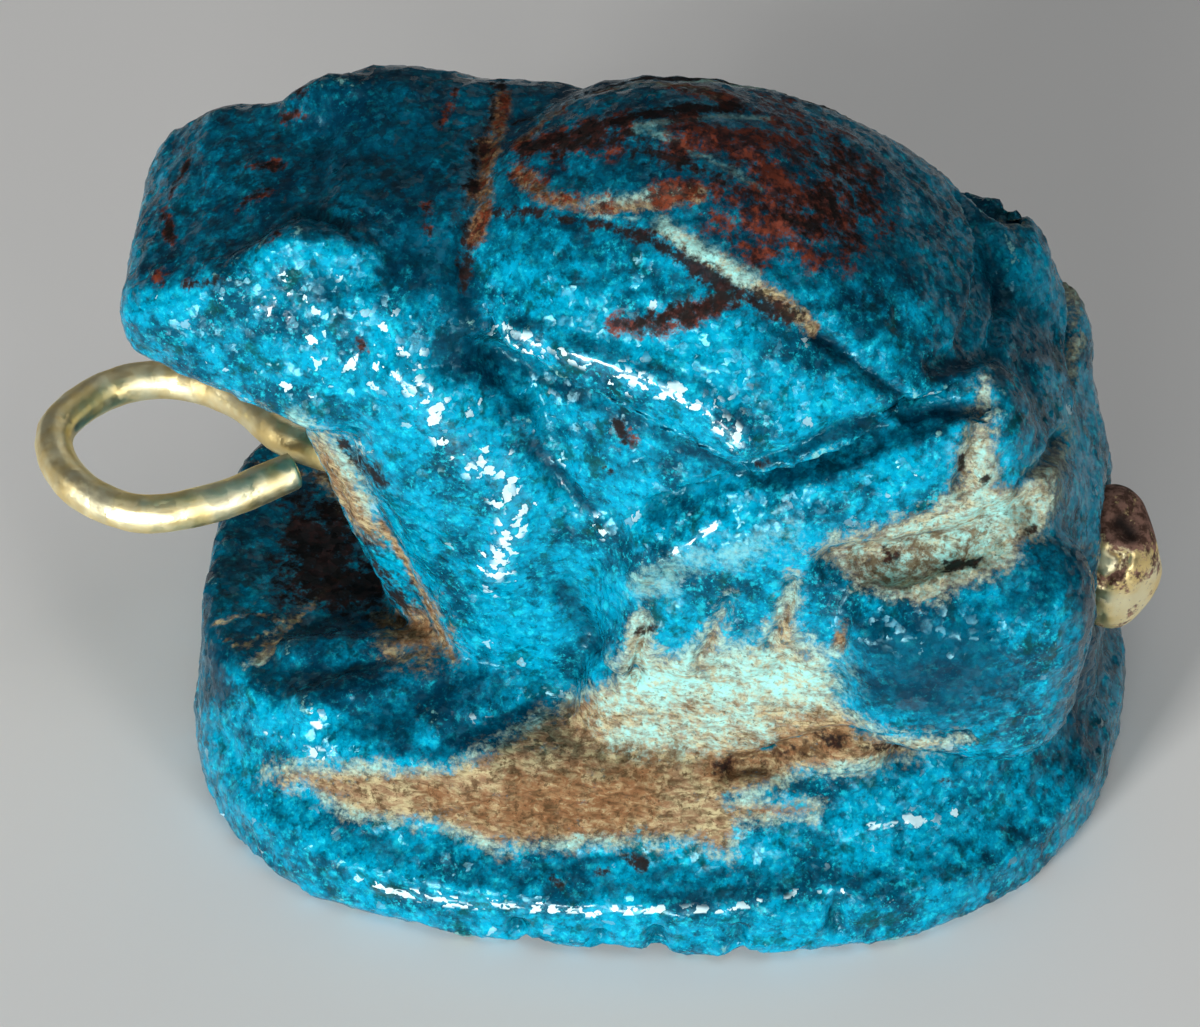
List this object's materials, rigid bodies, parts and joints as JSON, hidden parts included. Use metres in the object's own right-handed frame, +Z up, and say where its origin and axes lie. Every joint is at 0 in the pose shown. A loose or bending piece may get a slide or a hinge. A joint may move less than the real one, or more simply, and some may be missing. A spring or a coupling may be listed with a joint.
{
  "type": "frog amulet",
  "caption": "Small glazed frog amulet: a crouching frog on a thick rounded plinth, pierced lengthwise for a gold wire that ends in a loop and a knob",
  "frame": {"origin": "centre of the plinth's flat underside", "axes": "+X towards the frog's tail and the wire's knob, +Y towards the frog's right side, +Z up"},
  "size_m": [0.0224, 0.0148, 0.0153],
  "materials": {
    "blue_glaze": "worn bright blue glaze with bare tan patches",
    "gold": "pale hand-worked gold"
  },
  "bodies": {
    "root": {"frog_body": "blue_glaze", "gold_wire": "gold"}
  },
  "joints": []
}
